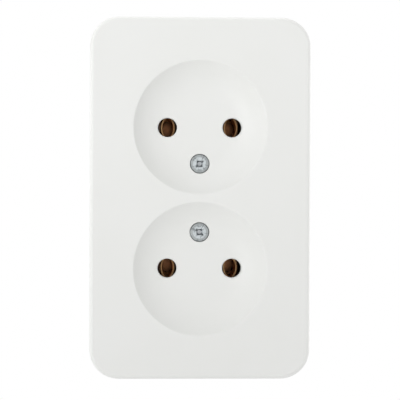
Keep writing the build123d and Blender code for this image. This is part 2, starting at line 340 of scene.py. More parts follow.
def brownPhenolic():  # moulded base, dark brown with faint flow marks and specks
    material, shader = startMaterial("brownPhenolic", (0.06, 0.036, 0.026), 0.36)
    point = objectPoint(material)
    flow = noise(material, objectPoint(material, (1, 1.6, 0.5)), 160, detail=6, rough=0.62)
    colourFrom(material, shader, flow, (0.115, 0.058, 0.038), (0.19, 0.105, 0.07))
    roughFrom(material, shader, noise(material, point, 1400), 0.30, 0.46)
    relief(material, shader, noise(material, point, 2600, detail=4), 0.2, 0.00003)
    return material


def levelShare(material, low, high):  # 0 below a level, 1 above another
    parts = addNode(material, "ShaderNodeSeparateXYZ")
    wire(material, objectPoint(material), parts.inputs["Vector"])
    return spread(material, parts.outputs["Y"], 0, 1, -low / perMetre, -high / perMetre)


def blendColours(material, share, first, second):
    mix = addNode(material, "ShaderNodeMix")
    mix.data_type = "RGBA"
    wire(material, share, mix.inputs["Factor"])
    wire(material, first, mix.inputs["A"])
    wire(material, second, mix.inputs["B"])
    return mix.outputs["Result"]


brightLevels = (22.75, 22.96)  # the brass turns bright between them


def sheetBrass():  # bare brass strip, bright at the front edges; further in a brown film, partly real tarnish and partly painted light: a lighter, less metallic red-brown that shows brown where the brass lies in shade
    material, shader = startMaterial("sheetBrass", (0.30, 0.18, 0.09), 0.4, 1.0)
    stain = noise(material, objectPoint(material), 420, detail=5, rough=0.6)
    rubbed = tint(material, stain, (0.335, 0.185, 0.085), (0.54, 0.325, 0.155))
    # painted light with the tarnish: a lighter red-brown that lifts the shaded brass further in
    filmAndPaintedLight = tint(material, stain, (0.50, 0.19, 0.06), (0.68, 0.30, 0.10))
    share = levelShare(material, *brightLevels)
    wire(material, blendColours(material, share, filmAndPaintedLight, rubbed), shader.inputs["Base Color"])
    # less metallic further in, so the shaded brass shows the painted red-brown
    wire(material, spread(material, share, 0.4, 1.0, 0, 1), shader.inputs["Metallic"])
    drawn = noise(material, objectPoint(material, (1, 0.04, 1)), 6000, detail=2)
    roughFrom(material, shader, drawn, 0.36, 0.54)
    relief(material, shader, drawn, 0.15, 0.00001)
    return material


def turnedBrass():  # inserts and rivets, browned
    material, shader = startMaterial("turnedBrass", (0.14, 0.085, 0.05), 0.45, 1.0)
    point = objectPoint(material)
    stain = noise(material, point, 700, detail=4)
    colourFrom(material, shader, stain, (0.33, 0.155, 0.07), (0.46, 0.225, 0.11))
    grain = noise(material, point, 5000)
    roughFrom(material, shader, grain, 0.32, 0.44)
    relief(material, shader, grain, 0.1, 0.00001)
    return material


def radiusShare(material, point, inner, outer):  # 1 near the axis, 0 further out
    reach = addNode(material, "ShaderNodeVectorMath")
    reach.operation = "LENGTH"
    wire(material, point, reach.inputs[0])
    return spread(material, reach.outputs["Value"], 1, 0, inner / perMetre, outer / perMetre)


# radii and depths where the head's colour changes: the darker outer ring and the darker recess are painted shade
plating = {"rubbed": (1.8, 2.1), "recess": (1.6, 1.75),  # radii
           "walls": (0.05, 0.3), "bottom": (1.1, 1.25)}  # depths below the top of the head


def zincPlate(name, x, z, top):  # bluish plated steel with marks that run out from the screw's axis; painted shade darkens the outer ring of the head and the inside of the driver recess
    material, shader = startMaterial(name, (0.62, 0.66, 0.70), 0.36, 1.0)
    flat = objectPoint(material, (1, 0, 1), (-x / perMetre, 0, -z / perMetre))
    heading = addNode(material, "ShaderNodeVectorMath")
    heading.operation = "NORMALIZE"
    wire(material, flat, heading.inputs[0])
    marks = noise(material, heading.outputs["Vector"], 3.6, detail=4, rough=0.7)
    blend = mathNode(material, "ADD", marks, noise(material, objectPoint(material), 900, detail=3))
    bright = tint(material, blend, (0.255, 0.278, 0.288), (0.57, 0.61, 0.624), 0.86, 1.22)
    # painted shade: a darker colour for the outer ring of the head, round its edge
    rubbed = tint(material, blend, (0.23, 0.247, 0.251), (0.38, 0.403, 0.408), 0.82, 1.2)
    plated = blendColours(material, radiusShare(material, flat, *plating["rubbed"]), rubbed, bright)
    near = radiusShare(material, flat, *plating["recess"])
    below = levelShare(material, *[top - d for d in plating["walls"]])
    recessShadeShare = mathNode(material, "MULTIPLY", near, below)  # painted shade inside the driver recess
    # painted shade: the recess walls darkest, its bottom less dark
    walls = tint(material, blend, (0.19, 0.205, 0.215), (0.29, 0.305, 0.315), 0.84, 1.2)
    bottom = tint(material, blend, (0.36, 0.375, 0.39), (0.46, 0.48, 0.495), 0.84, 1.2)
    deep = levelShare(material, *[top - d for d in plating["bottom"]])
    paintedRecessShade = blendColours(material, deep, walls, bottom)
    wire(material, blendColours(material, recessShadeShare, plated, paintedRecessShade), shader.inputs["Base Color"])
    roughFrom(material, shader, marks, 0.24, 0.42)
    relief(material, shader, marks, 0.15, 0.00004)
    return material


def springSteel():  # strip tempered brown
    material, shader = startMaterial("springSteel", (0.26, 0.22, 0.20), 0.32, 1.0)
    point = objectPoint(material)
    heat = noise(material, point, 260, detail=4)
    colourFrom(material, shader, heat, (0.21, 0.115, 0.075), (0.38, 0.235, 0.165))
    grain = noise(material, point, 4000)
    roughFrom(material, shader, grain, 0.26, 0.40)
    relief(material, shader, grain, 0.1, 0.00001)
    return material


def naturalPlastic():  # milky washer stock
    material, shader = startMaterial("naturalPlastic", (0.78, 0.77, 0.70), 0.5)
    point = objectPoint(material)
    cloud = noise(material, point, 500, detail=3)
    colourFrom(material, shader, cloud, (0.74, 0.73, 0.66), (0.81, 0.80, 0.74))
    relief(material, shader, noise(material, point, 3000), 0.15, 0.00002)
    return material


finish = {
    "cover": coverPlastic(),
    "base": brownPhenolic(),
    "contact_brass": sheetBrass(),
    "turned_brass": turnedBrass(),
    "spring_steel": springSteel(),
    "retainer": naturalPlastic(),
}
slotOf = {s["node"]: s["material_slot"] for s in record["subparts"]}
for node, nodeObject in frame["nodes"].items():
    low, high = nodeBox(node)
    material = finish.get(slotOf[node])
    if material is None:
        material = zincPlate(f"zinc_{node}", (low.x + high.x) / 2, (low.z + high.z) / 2, -low.y)
        finish[node] = material
    nodeObject.data.materials.clear()
    nodeObject.data.materials.append(material)
print("finishes ready")


# Cover: a drafted shell with two dished recesses

cover = {
    "wall": 2.0,
    "frontWall": 2.2,
    "draft": 1.0,  # degrees
    "corner": 8.7,
    "frontEdge": 1.2,
    "rimRadius": 19.5,
    "floorRadius": 9.6,
    "depth": 5.0,
    "rimRound": 0.3,
    "holeChamfer": 0.25,
    "cutReach": 4.0,  # how far the shapes that cut dishes and pin holes reach on
    "headHole": 2.9,
    "mouthRound": 0.04,
    "shankHole": 1.7,
    "shankEnd": 15.0,
    "screwSeat": 25.4,
    "boss": 4.0,
    "bossEnd": 23.4,
    "ribWidth": 1.2,
    "ribDepth": 1.7,
    "ribGap": 0.25,  # the gap round the base
    "ribInset": 16.0,
    "ribEnd": 8.0,
    "knockWidth": 14.0,
    "knockHeight": 12.0,
    "knockWeb": 0.9,
    "grooveWidth": 0.5,
    "grooveDepth": 0.3,
}


def draftedBlock(name, inset, low, high, frontRound=0):  # lies an inset inside the cover's outer wall
    boxLow, boxHigh = nodeBox("cover")
    slope = math.tan(math.radians(cover["draft"]))
    rear = nodeLevels("cover")[0]
    backSize = [boxHigh[i] - boxLow[i] - 2 * inset - 2 * (low - rear) * slope for i in (0, 2)]
    frontSize = [size - 2 * (high - low) * slope for size in backSize]
    halfWide, halfTall = [size / 2 for size in backSize]
    piece = block(name, (-halfWide, -high, -halfTall), (halfWide, -low, halfTall))
    edit(piece)
    choose(piece, "FACE", lambda face: face.normal.y < -0.9)
    shrink = [f / b for f, b in zip(frontSize, backSize)]
    bpy.ops.transform.resize(value=(shrink[0], 1, shrink[1]))
    choose(piece, "EDGE", standsOut)
    bpy.ops.mesh.bevel(offset=cover["corner"] - inset, segments=14, profile=0.5)
    if frontRound:
        choose(piece, "EDGE", lambda edge: atLevel(edge, high))
        bpy.ops.mesh.bevel(offset=frontRound, segments=6, profile=0.5)
    leave()
    return piece


def dishProfile(floorLevel, topLevel, bend):  # flat floor, then a side that curves up to the rim
    rise = math.degrees(math.acos(1 - (topLevel - floorLevel) / bend))
    side = arc((cover["floorRadius"], floorLevel + bend), bend, -90, -90 + rise, 14)
    above = topLevel + cover["cutReach"]
    return [(0, floorLevel)] + side + [(side[-1][0], above), (0, above)]


def coverCavity(rear, front, floor, bend):  # the hollow, which leaves ribs, bowls and bosses standing
    wall, thick = cover["wall"], cover["frontWall"]
    cavity = draftedBlock("cavity", wall, rear - 2 * past, front - thick)
    halfWide = nodeBox("cover")[1].x - wall
    halfTall = nodeBox("cover")[1].z - wall
    inward, half, end = cover["ribDepth"] + cover["ribGap"], cover["ribWidth"] / 2, cover["ribEnd"]
    for side in (-1, 1):
        for inset in (-cover["ribInset"], cover["ribInset"]):
            reach = sorted((side * (halfWide - inward), side * (halfWide + past)))
            cutOut(cavity, block("rib", (reach[0], -front, inset - half), (reach[1], -end, inset + half)))
            reach = sorted((side * (halfTall - inward), side * (halfTall + past)))
            cutOut(cavity, block("rib", (inset - half, -front, reach[0]), (inset + half, -end, reach[1])))
    bowl = dishProfile(floor - thick, front - thick, bend + thick)
    for o in outlets:
        cutOut(cavity, lathe("bowl", bowl, steps=96, z=outletHeight[o]))
        cutOut(cavity, rodTool(cover["boss"], cover["bossEnd"], front, z=screwHeight[o], steps=48))
    return cavity


def pinHoleRadius():
    dims = [m["dims"] for m in record["mounts"] if m["name"] == "pin_hole_upper_left"]
    return dims[0]["r_mm"]


def cutHoles(shell, floor, front):
    hole, chamfer, bottom = pinHoleRadius(), cover["holeChamfer"], floor - cover["cutReach"]
    mouth = hole + chamfer
    profile = [(0, bottom), (hole, bottom), (hole, floor - chamfer), (mouth, floor), (mouth, front),
               (0, front)]
    for o in outlets:
        for side in (-1, 1):
            cutOut(shell, lathe("pin_hole", profile, steps=64, x=side * pinHalfPitch, z=outletHeight[o]))
        cutOut(shell, screwHole(floor, front, screwHeight[o]))


def screwHole(floor, front, z):
    head, shank, soft = cover["headHole"], cover["shankHole"], cover["mouthRound"]
    seat, end = cover["screwSeat"], cover["shankEnd"]
    mouth = arc((head + soft, floor - soft), soft, 180, 90, 4)
    profile = [(0, end), (shank, end), (shank, seat), (head, seat)] + mouth
    profile += [(mouth[-1][0], front), (0, front)]
    return lathe("screw_hole", profile, steps=64, z=z)


def makeCover():
    rear, front = nodeLevels("cover")
    floor = front - cover["depth"]
    sideWidth = cover["rimRadius"] - cover["floorRadius"]
    bend = (sideWidth ** 2 + cover["depth"] ** 2) / (2 * cover["depth"])
    shell = draftedBlock("cover_shell", 0, rear, front, cover["frontEdge"])
    dish = dishProfile(floor, front, bend)
    for o in outlets:
        cutOut(shell, lathe("dish", dish, steps=144, z=outletHeight[o]))
    edit(shell)
    choose(shell, "EDGE", lambda edge: atLevel(edge, front) and any(
        atRadius(edge, cover["rimRadius"], 0, outletHeight[o], 0.03) for o in outlets))
    bpy.ops.mesh.bevel(offset=cover["rimRound"], segments=4, profile=0.5)
    leave()
    cutOut(shell, coverCavity(rear, front, floor, bend))
    cutHoles(shell, floor, front)
    for end in (-1, 1):
        cutOut(shell, *knockOutTools(end))
    finishPiece(shell, "housing", "cover")


def knockOutBar(name, width, height, low, high):  # a U-shaped bar that stands on the wall plane
    tool = block(name, (-width / 2, -height, low), (width / 2, past, high))
    edit(tool)
    choose(tool, "EDGE", lambda edge: atLevel(edge, height)
           and abs(edge.verts[0].co.z - edge.verts[1].co.z) > 0.1)
    bpy.ops.mesh.bevel(offset=width / 2 - bevelGap, segments=16, profile=0.5)
    leave()
    return tool


def knockOutTools(end):  # the groove outside and the thinning inside, at the top or bottom wall
    slope = math.tan(math.radians(cover["draft"]))
    outside = nodeBox("cover")[1].z - slope * cover["knockHeight"]
    width, height = cover["knockWidth"], cover["knockHeight"]
    groove, web = cover["grooveWidth"], cover["knockWeb"]
    reach = sorted((end * (outside - cover["grooveDepth"]), end * (outside + 2 * past)))
    ring = knockOutBar("groove", width, height, *reach)
    inner = (width - 2 * groove, height - groove)
    cutOut(ring, knockOutBar("middle", *inner, reach[0] - past, reach[1] + past))
    reach = sorted((end * (outside - web), end * (outside - web - cover["wall"] - cover["ribDepth"])))
    return ring, knockOutBar("thin", *inner, *reach)


makeCover()
print("cover done")


# Screws: turned heads on rolled threads

coverScrew = {
    "headRadius": 2.82,
    "headRound": 0.28,
    "threadRadius": 1.5,
    "threadDepth": 0.28,
    "pitch": 0.5,
    "neck": 1.2,
    "tipChamfer": 0.5,
    "coreSide": 1.85,
    "coreCorner": 0.56,
    "coreDepth": 1.3,
    "coreTaper": 0.64,
    "coreTurn": 45.0,  # against the arms
    "armWidth": 0.62,
    "armDepth": 0.5,
    "armTaper": (0.6, 0.75),  # along and across an arm
    "longSpan": 3.0,
    "shortSpan": 2.4,
    "barPast": 0.1,  # how far the cutting bars reach above the head
    "recessTurn": 40.0,  # degrees
    "lowerTurn": 100.0,  # how much further round the lower screw stops
}
terminalScrew = {
    "headRadius": 3.2,
    "headRound": 0.6,
    "threadRadius": 1.75,
    "threadDepth": 0.33,
    "pitch": 0.6,
    "neck": 0.8,
    "tipChamfer": 0.4,
    "slotWidth": 0.9,
    "slotDepth": 1.2,
}
thread = {
    "ridge": (0, 0.12, 0.44, 0.56, 0.88, 1),  # shares of the pitch where a flank starts or ends
    "steps": 28,
    "trimGap": 0.01,
    "neckStep": 0.05,  # how much thinner the neck is
    "neckSink": 0.15,
}


def threadedRod(name, size, low, high):
    radius, pitch = size["threadRadius"], size["pitch"]
    root = radius - size["threadDepth"]
    turns = math.ceil((high - low) / pitch) + 2
    start = -high - pitch
    ridge = zip((root, root, radius, radius, root, root), thread["ridge"])
    rod = chain(name, [(r, start + share * pitch, 0) for r, share in ridge])
    useModifier(rod, "SCREW", axis="Y", angle=math.tau, screw_offset=pitch, iterations=turns,
                steps=thread["steps"], render_steps=thread["steps"], use_merge_vertices=True,
                merge_threshold=0.0005)
    editAll(rod)
    bpy.ops.mesh.remove_doubles(threshold=mergeGap)
    bpy.ops.mesh.fill_holes(sides=0)
    closeUp(rod)
    outer, chamfer = radius + thread["trimGap"], size["tipChamfer"]
    trim = [(0, low), (outer - chamfer, low), (outer, low + chamfer), (outer, high), (0, high)]
    combine(rod, lathe("trim", trim, steps=2 * thread["steps"]), "INTERSECT")
    return rod


def screwBlank(name, size, node, seat):  # head, neck and thread, with its axis through the origin
    tip, top = nodeLevels(node)
    headRadius, headRound = size["headRadius"], size["headRound"]
    neckRadius = size["threadRadius"] - thread["neckStep"]
    edge = arc((headRadius - headRound, top - headRound), headRound, 90, 0, 6)
    neckEnd = seat - size["neck"]
    profile = [(0, top)] + edge + [(headRadius, seat), (neckRadius, seat)]
    profile += [(neckRadius, neckEnd), (0, neckEnd)]
    screw = lathe(name, profile, steps=72)
    addOn(screw, threadedRod("thread", size, tip, neckEnd + thread["neckSink"]))
    return screw


def driverBar(wide, tall, top, depth, narrow, turn, corner=0):  # a bar that narrows towards its bottom
    above = top + coverScrew["barPast"]
    bar = block("bar", (-wide / 2, -above, -tall / 2), (wide / 2, depth - top, tall / 2))
    edit(bar)
    choose(bar, "FACE", lambda face: face.normal.y > 0.9)
    bpy.ops.transform.resize(value=(narrow[0], 1, narrow[1]))
    if corner:
        choose(bar, "EDGE", standsOut)
        bpy.ops.mesh.bevel(offset=corner, segments=4, profile=0.5)
    leave()
    bar.rotation_euler = (0, -math.radians(turn), 0)
    takeUp(bar)
    bpy.ops.object.transform_apply(location=True, rotation=True, scale=True)
    return bar


def makeCoverScrews():
    size = coverScrew
    seat = -jointAt["cover_screw_upper_turn"].y
    blank = screwBlank("cover_screw", size, "cover_screw_upper", seat)
    top = nodeLevels("cover_screw_upper")[1]
    arm, depth, core, turn = size["armWidth"], size["armDepth"], size["coreSide"], size["recessTurn"]
    along, across = size["armTaper"]
    cutOut(blank, driverBar(size["longSpan"], arm, top, depth, (along, across), turn))
    cutOut(blank, driverBar(arm, size["shortSpan"], top, depth, (across, along), turn))
    narrow, turn = (size["coreTaper"], size["coreTaper"]), turn + size["coreTurn"]
    cutOut(blank, driverBar(core, core, top, size["coreDepth"], narrow, turn, size["coreCorner"]))
    turns = {"upper": 0, "lower": size["lowerTurn"]}
    placeCopies(blank, "turned", {f"cover_screw_{o}": (0, screwHeight[o], turns[o]) for o in outlets})


def makeTerminalScrews():
    size = terminalScrew
    seat = -jointAt["terminal_screw_upper_left_turn"].y
    blank = screwBlank("terminal_screw", size, "terminal_screw_upper_left", seat)
    top = nodeLevels("terminal_screw_upper_left")[1]
    reach, half = size["headRadius"] + past, size["slotWidth"] / 2
    cutOut(blank, block("slot", (-reach, -top - past, -half), (reach, size["slotDepth"] - top, half)))
    places = {f"terminal_screw_{o}_{p}": (*terminalPlace(o, p), 0) for o, p in sockets}
    placeCopies(blank, "turned", places)


makeCoverScrews()
makeTerminalScrews()
print("screws done")


# Washers that hold the cover screws captive, inserts they turn in, and rivets

washer = {"hole": 1.53, "edge": 0.15}
insert = {"hole": 1.53, "grooveWidth": 1.0, "grooveDepth": 0.25, "ridges": 30, "ridgeDepth": 0.12,
          "chamfer": 0.2}
rivet = {"head": 2.2, "headEdge": 0.18, "headBottom": 7.5, "shank": 1.25, "tail": 2.0, "tailEdge": 0.2,
         "bore": 0.75, "boreEdge": 0.2, "boreDepth": 3.0, "borePoint": 0.4}


def roundedRing(inner, outer, low, high, edge):  # closed section of a ring with rounded corners
    section = []
    for x, y, start in ((outer - edge, high - edge, 90), (outer - edge, low + edge, 0),
                        (inner + edge, low + edge, -90), (inner + edge, high - edge, -180)):
        section += arc((x, y), edge, start, start - 90, 4)
    return section + section[:1]


def makeWashers():
    low, high = nodeLevels("screw_retainer_upper")
    outer = nodeBox("screw_retainer_upper")[1].x
    blank = lathe("washer", roundedRing(washer["hole"], outer, low, high, washer["edge"]), steps=64)
    placeCopies(blank, "washer", {f"screw_retainer_{o}": (0, screwHeight[o], 0) for o in outlets})


def makeInserts():
    low, high = nodeLevels("threaded_insert_upper")
    outer, hole, chamfer = nodeBox("threaded_insert_upper")[1].x, insert["hole"], insert["chamfer"]
    middle, half = (low + high) / 2, insert["grooveWidth"] / 2
    grooved = outer - insert["grooveDepth"]
    section = [(hole, high), (outer - chamfer, high), (outer, high - chamfer), (outer, middle + half),
               (grooved, middle + half), (grooved, middle - half), (outer, middle - half),
               (outer, low + chamfer), (outer - chamfer, low), (hole, low), (hole, high)]
    blank = lathe("insert", section, steps=2 * insert["ridges"])
    edit(blank)
    step = math.tau / (2 * insert["ridges"])

    def inValley(point):
        turn = round(math.atan2(point.co.z, point.co.x) / step)
        return turn % 2 and math.hypot(point.co.x, point.co.z) > outer - 0.05

    choose(blank, "VERT", inValley)
    shrink = 1 - insert["ridgeDepth"] / outer
    bpy.ops.transform.resize(value=(shrink, 1, shrink), center_override=(0, 0, 0))
    leave()
    places = {f"threaded_insert_{o}": (0, screwHeight[o], 0) for o in outlets}
    placeCopies(blank, "knurled", places, "housing", angle=25)


def makeRivets():
    low, high = nodeLevels("contact_rivets")
    head, shank, headBottom, edge = rivet["head"], rivet["shank"], rivet["headBottom"], rivet["headEdge"]
    profile = [(0, high)] + arc((head - edge, high - edge), edge, 90, 0, 4) + [(head, headBottom)]
    curl = rivet["tailEdge"]
    profile += [(shank, headBottom), (shank, low + 2 * curl)]
    profile += arc((rivet["tail"] - curl, low + curl), curl, 90, -90, 6)
    bore, soft, end = rivet["bore"], rivet["boreEdge"], low + rivet["boreDepth"]
    profile += [(bore + soft, low), (bore, low + soft), (bore, end), (0, end + rivet["borePoint"])]
    blank = lathe("rivet", profile, steps=48)
    made = []
    for o, p in sockets:
        x, z = contactPlace(o, p)
        made.append(copyOf(blank, f"rivet_{o}_{p}", (x, 0, z)))
    bpy.data.objects.remove(blank)
    rivets = joinUp(made, "contact_rivets_headed")
    finishPiece(rivets, "housing", "contact_rivets")


makeWashers()
makeInserts()
makeRivets()
print("washers, inserts and rivets done")


# Brass: busbars, clamp plates, pin contacts, and the springs round them

busbar = {"width": 6.0, "thickness": 1.0, "corner": 1.5, "tabWidth": 8.0, "collar": 2.5, "edge": 0.12,
          "screwHole": 1.78, "rivetHole": 1.3}
clamp = {"thickness": 1.0, "lip": 0.8, "bend": 0.4, "hole": 1.85, "edge": 0.12,
         "ribs": 3, "ribWidth": 0.6, "ribDepth": 0.18, "ribTaper": 0.2}
leaf = {"sheet": 0.5, "width": 6.0, "edge": 0.1, "rivetHole": 1.3, "rows": 22, "across": 10,
        "rootGap": 5.2, "rootBend": 60.0, "foldRadius": 0.4, "foldTop": 8.5,
        "waistGap": 3.0, "waistBend": 3.6, "waistLow": 13.5, "waistHigh": 18.5,
        "tipGap": 3.4, "tipBend": 4.0, "tipThinning": 0.2}
clip = {"sheet": 0.45, "inside": 2.05, "bend": 0.5, "reach": 2.2, "bridge": 3.3, "edge": 0.05}
overlap = 0.3  # where two shapes of one pressing are joined
through = (0.0, 20.0)  # levels that a hole through the brass is cut between


def softenEdges(piece, width):
    useModifier(piece, "BEVEL", width=width, segments=2, limit_method="ANGLE",
                angle_limit=math.radians(40))


def makeBusbars():
    collarEnd, face = nodeLevels("busbar_left")
    back, half, tabHalf = face - busbar["thickness"], busbar["width"] / 2, busbar["tabWidth"] / 2
    for p, side in zip(poles, (-1, 1)):
        node = f"busbar_{p}"
        low, high = nodeBox(node)
        x = contactPlace("upper", p)[0]
        screws = [jointAt[f"terminal_screw_{o}_{p}_turn"] for o in outlets]
        strip = block(f"{node}_pressed", (x - half, -face, low.z), (x + half, -back, high.z))
        edit(strip)
        choose(strip, "EDGE", standsOut)
        bpy.ops.mesh.bevel(offset=busbar["corner"], segments=6, profile=0.5)
        for screw in screws:
            for cut in (screw.z - tabHalf, screw.z + tabHalf):
                bpy.ops.mesh.select_all(action="SELECT")
                bpy.ops.mesh.bisect(plane_co=(0, 0, cut), plane_no=(0, 0, 1))
        reach = (low.x if side < 0 else high.x) - (x + side * half)
        choose(strip, "FACE", lambda f: f.normal.x * side > 0.9 and any(
            abs(f.calc_center_median().z - screw.z) < 0.1 for screw in screws))
        bpy.ops.mesh.extrude_region_move(TRANSFORM_OT_translate={"value": (reach, 0, 0)})
        leave()
        softenEdges(strip, busbar["edge"])
        for screw in screws:
            addOn(strip, rodTool(busbar["collar"], collarEnd, back + overlap, screw.x, screw.z, steps=48))
            cutOut(strip, rodTool(busbar["screwHole"], *through, screw.x, screw.z, steps=48))
        for o in outlets:
            cutOut(strip, rodTool(busbar["rivetHole"], *through, x, contactPlace(o, p)[1]))
        finishPiece(strip, "housing", node)


def makeClampPlates():
    low, high = nodeBox("clamp_plate_upper_right")
    screw = jointAt["terminal_screw_upper_right_turn"]
    place = Vector((screw.x, 0, screw.z))
    low, high = low - place, high - place
    top = -low.y
    under = top - clamp["thickness"]
    blank = block("clamp", (low.x, -top, low.z), (high.x, -under, high.z))
    addOn(blank, block("lip", (high.x - clamp["lip"], -under - overlap, low.z), (high.x, high.y, high.z)))
    edit(blank)
    choose(blank, "EDGE", lambda edge: atLevel(edge, top)
           and all(p.co.x > high.x - 0.01 for p in edge.verts))
    bpy.ops.mesh.bevel(offset=clamp["bend"], segments=4, profile=0.5)
    leave()
    span = high.x - clamp["lip"] - low.x
    half = clamp["ribWidth"] / 2
    for i in range(clamp["ribs"]):  # grooves that bite into the wire
        x = low.x + span * (i + 1) / (clamp["ribs"] + 1)
        start = (x - half, -under - clamp["ribDepth"], low.z - past)
        groove = block("groove", start, (x + half, past - under, high.z + past))
        edit(groove)
        choose(groove, "FACE", lambda face: face.normal.y < -0.9)
        bpy.ops.transform.resize(value=(clamp["ribTaper"], 1, 1))
        leave()
        cutOut(blank, groove)
    cutOut(blank, rodTool(clamp["hole"], *through, steps=48))
    softenEdges(blank, clamp["edge"])
    turns = {"left": 180, "right": 0}
    places = {f"clamp_plate_{o}_{p}": (*terminalPlace(o, p), turns[p]) for o, p in sockets}
    placeCopies(blank, "pressed", places)


def leafLine(level):  # inner face of the right-hand leaf across its width, at one level
    stops = [(leaf["foldTop"], leaf["rootGap"], leaf["rootBend"]),
             (leaf["waistLow"], leaf["waistGap"], leaf["waistBend"]),
             (leaf["waistHigh"], leaf["waistGap"], leaf["waistBend"]),
             (nodeLevels("pin_contact_upper_left")[1], leaf["tipGap"], leaf["tipBend"])]
    for (low, gapLow, bendLow), (high, gapHigh, bendHigh) in zip(stops, stops[1:]):
        if level <= high + 0.001:
            share = min(1.0, max(0.0, (level - low) / (high - low)))
            share = share * share * (3 - 2 * share)  # eases in and out of each bend
            gap = gapLow + (gapHigh - gapLow) * share
            bend = 1 / (1 / bendLow + (1 / bendHigh - 1 / bendLow) * share)
            break
    half = math.degrees(math.asin(leaf["width"] / 2 / (bend + leaf["sheet"])))
    return [(x, -level, z) for x, z in arc((gap / 2 - bend, 0), bend, -half, half, leaf["across"])]


def bridgeLines(name, lines):  # draws each line of points and bridges it to the next one
    sheet = joinUp([chain(name, line) for line in lines], name)
    count = len(lines[0])
    edit(sheet)
    for i in range(len(lines) - 1):
        rows = (i, i + 1)
        choose(sheet, "EDGE", lambda edge: all(p.index // count in rows for p in edge.verts)
               and edge.verts[0].index // count == edge.verts[1].index // count)
        bpy.ops.mesh.bridge_edge_loops()
    closeUp(sheet)
    return sheet


def thinTips(blank, tip):  # coins the outer side of both leaves at their front edges
    toCentre = leaf["tipBend"] - leaf["tipGap"] / 2
    middle = leaf["tipBend"] + leaf["sheet"] / 2
    shrink = 1 - leaf["tipThinning"] / (leaf["tipGap"] / 2 + leaf["sheet"])
    edit(blank)
    choose(blank, "VERT", lambda p: -p.co.y > tip - 0.05
           and math.hypot(abs(p.co.x) + toCentre, p.co.z) > middle)
    bpy.ops.transform.resize(value=(shrink, 1, 1), center_override=(0, 0, 0))
    leave()


def makeContacts():
    root, tip = nodeLevels("pin_contact_upper_left")
    fold, floor, half = leaf["foldRadius"], root + leaf["sheet"], leaf["width"] / 2
    rows, across = leaf["rows"], leaf["across"]
    lines = [leafLine(tip - (tip - leaf["foldTop"]) * i / rows) for i in range(rows + 1)]
    bends = arc((leaf["rootGap"] / 2 - fold, floor + fold), fold, 0, -90, 5)
    for x, level in bends + [(0, floor)]:
        lines.append([(x, -level, -half + leaf["width"] * i / across) for i in range(across + 1)])
    lines += [[(-x, y, z) for x, y, z in line] for line in reversed(lines[:-1])]
    blank = bridgeLines("contact", lines)
    useModifier(blank, "SOLIDIFY", thickness=leaf["sheet"], offset=1.0, use_even_offset=True)
    thinTips(blank, tip)
    cutOut(blank, rodTool(leaf["rivetHole"], 0, floor + overlap))
    softenEdges(blank, leaf["edge"])
    places = {f"pin_contact_{o}_{p}": (*contactPlace(o, p), 0) for o, p in sockets}
    placeCopies(blank, "folded", places, "housing")


def makeSprings():
    low, high = nodeLevels("contact_spring_upper_left")
    inside, bend, bridge, reach = clip["inside"], clip["bend"], clip["bridge"], clip["reach"]
    side = [(inside, -reach), (inside, -reach / 2), (inside, 0)]
    side += arc((inside - bend, bridge - bend), bend, 0, 90, 6)
    path = side + [(-x, z) for x, z in reversed(side)]
    blank = chain("clip", [(x, -high, z) for x, z in path])
    editAll(blank)
    bpy.ops.mesh.extrude_region_move(TRANSFORM_OT_translate={"value": (0, high - low, 0)})
    closeUp(blank)
    useModifier(blank, "SOLIDIFY", thickness=clip["sheet"], offset=1.0, use_even_offset=True)
    softenEdges(blank, clip["edge"])
    places = {f"contact_spring_{o}_{p}": (*contactPlace(o, p), 0) for o, p in sockets}
    placeCopies(blank, "bent", places, "housing")


makeBusbars()
makeClampPlates()
makeContacts()
makeSprings()
print("busbars, clamp plates, contacts and springs done")


# Base: a moulded tray with chambers for the contacts and posts for the inserts

base = {
    "gap": 0.25,
    "rimLevel": 8.0,
    "rimWall": 1.8,
    "backRecess": 1.5,
    "recessPast": 0.6,  # how far its cutting shape reaches behind the wall plane
    "floorLevel": 4.0,
    "edge": 0.3,
    "ribHeight": 29.0,
    "ribWidth": 1.6,
    "slotHeight": 37.0,
    "slotLength": 9.0,
    "slotWidth": 4.4,
    "slotPad": 2.0,
    "entry": (10.0, 9.0, 2.0),  # width, height and corner of the cable entry
    "entryEdge": 0.4,
    "gapWidth": 15.0,
    "gapReach": 0.6,
    "chamber": (8.6, 9.6, 0.8),
    "chamberWall": 1.2,
    "postRadius": 3.7,
    "postEdge": 0.2,
    "insertHole": 2.3,
    "insertBack": 10.1,
    "shankHole": 1.7,
    "shankEnd": 6.1,
    "padWidth": 4.6,
    "padLevel": 6.0,
    "tabWidth": 8.0,
    "tabReach": 9.7,
    "barGap": 0.3,
    "collarWell": (2.8, 3.2),  # radius and level of its bottom
    "rivetHole": 1.3,
    "rivetWell": (2.4, 2.4),
}


def roundBar(name, x, z, wide, tall, corner, low, high):  # an upright bar with rounded corners
    piece = block(name, (x - wide / 2, -high, z - tall / 2), (x + wide / 2, -low, z + tall / 2))
    edit(piece)
    choose(piece, "EDGE", standsOut)
    bpy.ops.mesh.bevel(offset=corner - bevelGap / 2, segments=8, profile=0.5)
    leave()
    return piece


def roundOver(piece, level, width, test=None):  # rounds the edges that lie at one level
    edit(piece)
    choose(piece, "EDGE", lambda edge: atLevel(edge, level) and (test is None or test(edge)))
    bpy.ops.mesh.bevel(offset=width, segments=3, profile=0.5)
    leave()


